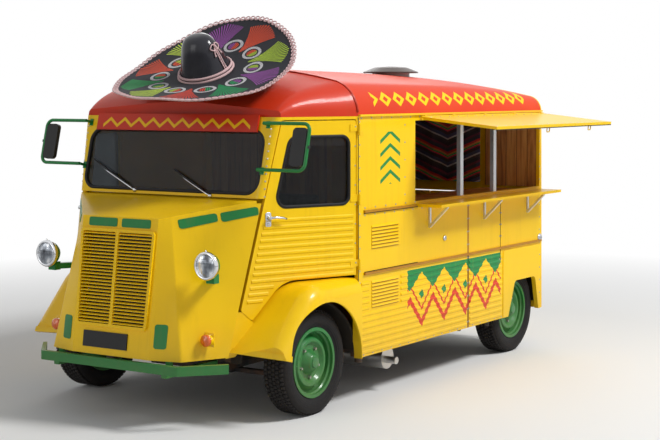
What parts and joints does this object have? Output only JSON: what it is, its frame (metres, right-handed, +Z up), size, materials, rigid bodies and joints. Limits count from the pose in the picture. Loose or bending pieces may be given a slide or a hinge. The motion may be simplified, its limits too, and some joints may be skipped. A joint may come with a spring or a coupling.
{
  "type": "food truck",
  "caption": "Forward-control panel van with a side serving hatch, awning flap, counter shelf and a wide hat on its cab roof.",
  "frame": {"origin": "on the ground, on the centre line, midway between the axles", "axes": "+X to the front, +Y to the van's left where the serving hatch is, +Z up"},
  "size_m": [3.86, 2.6822, 2.4632],
  "materials": {
    "body_yellow": "gloss paint, lightly worn",
    "roof_red": "gloss paint, faded",
    "trim_green": "gloss paint",
    "chassis_black": "matt chassis paint",
    "bare_steel": "worn steel",
    "grey_metal": "satin",
    "chrome": "polished",
    "iron": "rough",
    "tyre_rubber": "matt",
    "window_glass": "clear, slightly tinted",
    "amber_plastic": "gloss",
    "black_plastic": "matt",
    "wood_panel": "varnished",
    "seat_leather": "worn",
    "cloth": "woven stripes",
    "felt": "embroidered velvet"
  },
  "bodies": {
    "chassis": {"underframe": "chassis_black", "jack_sockets": "chassis_black", "front_axle": "iron", "rear_axle": "iron", "engine_block": "iron", "exhaust": "bare_steel", "wheelhouses": "chassis_black", "nose_shell": "body_yellow", "grille": "body_yellow", "cab_frame": "body_yellow", "windscreen": "window_glass", "door_hinges": "body_yellow", "bulkhead": "body_yellow", "cab_seats": "seat_leather", "wing_left": "body_yellow", "wing_right": "body_yellow", "bumpers": "trim_green", "main_roof": "roof_red", "cab_roof": "roof_red", "banner_board": "roof_red", "side_front_left": "body_yellow", "side_rear_left": "body_yellow", "side_upper_left": "body_yellow", "side_right": "body_yellow", "rear_frame": "body_yellow", "posts_and_brackets": "grey_metal", "counter_shelf": "body_yellow", "vent_slots": "trim_green", "black_trim": "black_plastic", "body_rails": "body_yellow", "service_counter": "wood_panel", "wood_lining": "wood_panel", "curtain_rod": "bare_steel", "serape_cloth": "cloth", "headlamps": "trim_green", "signal_lamps": "amber_plastic", "mirrors": "trim_green", "roof_vent": "black_plastic", "sombrero": "felt"},
    "awning": {"awning_flap": "body_yellow"},
    "left_cab_door": {"cab_door_left": "body_yellow", "cab_glass_left": "window_glass"},
    "right_cab_door": {"cab_door_right": "body_yellow", "cab_glass_right": "window_glass"},
    "side_door": {"sliding_door": "body_yellow"},
    "left_tail_door": {"rear_door_left": "body_yellow"},
    "right_tail_door": {"rear_door_right": "body_yellow"},
    "tail_hatch": {"rear_hatch": "body_yellow"},
    "bonnet_lid": {"bonnet": "body_yellow"},
    "left_knuckle": {"knuckle_left": "iron"},
    "right_knuckle": {"knuckle_right": "iron"},
    "driver_wheel": {"steering_wheel": "black_plastic"},
    "front_left_wheel": {"rim_front_left": "trim_green", "tyre_front_left": "tyre_rubber"},
    "front_right_wheel": {"rim_front_right": "trim_green", "tyre_front_right": "tyre_rubber"},
    "rear_left_wheel": {"rim_rear_left": "trim_green", "tyre_rear_left": "tyre_rubber"},
    "rear_right_wheel": {"rim_rear_right": "trim_green", "tyre_rear_right": "tyre_rubber"}
  },
  "joints": [
    {"name": "awning_hinge", "type": "hinge", "parent": "chassis", "child": "awning", "pos_m": [-0.7, 1.03, 1.812], "axis": [-1, 0, 0], "range_deg": [0, 84]},
    {"name": "left_cab_door_hinge", "type": "hinge", "parent": "chassis", "child": "left_cab_door", "pos_m": [0.917, 1.01, 1.2], "axis": [0, 0, 1], "range_deg": [0, 75]},
    {"name": "right_cab_door_hinge", "type": "hinge", "parent": "chassis", "child": "right_cab_door", "pos_m": [0.917, -1.01, 1.2], "axis": [0, 0, -1], "range_deg": [0, 75]},
    {"name": "side_door_slide", "type": "slide", "parent": "chassis", "child": "side_door", "axis": [-1, 0, 0], "range_m": [0, 0.85]},
    {"name": "left_tail_door_hinge", "type": "hinge", "parent": "chassis", "child": "left_tail_door", "pos_m": [-1.678, 0.703, 0.8], "axis": [0, 0, -1], "range_deg": [0, 100]},
    {"name": "right_tail_door_hinge", "type": "hinge", "parent": "chassis", "child": "right_tail_door", "pos_m": [-1.678, -0.703, 0.8], "axis": [0, 0, 1], "range_deg": [0, 100]},
    {"name": "tail_hatch_hinge", "type": "hinge", "parent": "chassis", "child": "tail_hatch", "pos_m": [-1.678, 0, 1.778], "axis": [0, 1, 0], "range_deg": [0, 92]},
    {"name": "bonnet_hinge", "type": "hinge", "parent": "chassis", "child": "bonnet_lid", "pos_m": [1.596, 0, 1.345], "axis": [0, -1, 0], "range_deg": [0, 55]},
    {"name": "steering_wheel_turn", "type": "hinge", "parent": "chassis", "child": "driver_wheel", "pos_m": [1.24269, 0.38, 1.12665], "axis": [-0.6428, 0, 0.766], "range_deg": [-448, 448]},
    {"name": "left_steer", "type": "hinge", "parent": "chassis", "child": "left_knuckle", "pos_m": [1.3, 0.79, 0.322], "axis": [0, 0, 1], "range_deg": [-28, 28]},
    {"name": "right_steer", "type": "hinge", "parent": "chassis", "child": "right_knuckle", "pos_m": [1.3, -0.79, 0.322], "axis": [0, 0, 1], "range_deg": [-28, 28]},
    {"name": "front_left_spin", "type": "hinge", "parent": "left_knuckle", "child": "front_left_wheel", "pos_m": [1.3, 0.855, 0.322], "axis": [0, 1, 0], "continuous": true},
    {"name": "front_right_spin", "type": "hinge", "parent": "right_knuckle", "child": "front_right_wheel", "pos_m": [1.3, -0.855, 0.322], "axis": [0, 1, 0], "continuous": true},
    {"name": "rear_left_spin", "type": "hinge", "parent": "chassis", "child": "rear_left_wheel", "pos_m": [-1.3, 0.855, 0.322], "axis": [0, 1, 0], "continuous": true},
    {"name": "rear_right_spin", "type": "hinge", "parent": "chassis", "child": "rear_right_wheel", "pos_m": [-1.3, -0.855, 0.322], "axis": [0, 1, 0], "continuous": true}
  ],
  "couplings": [
    {"joint": "left_steer", "follows": "steering_wheel_turn", "ratio": 0.0625},
    {"joint": "right_steer", "follows": "steering_wheel_turn", "ratio": 0.0625}
  ]
}
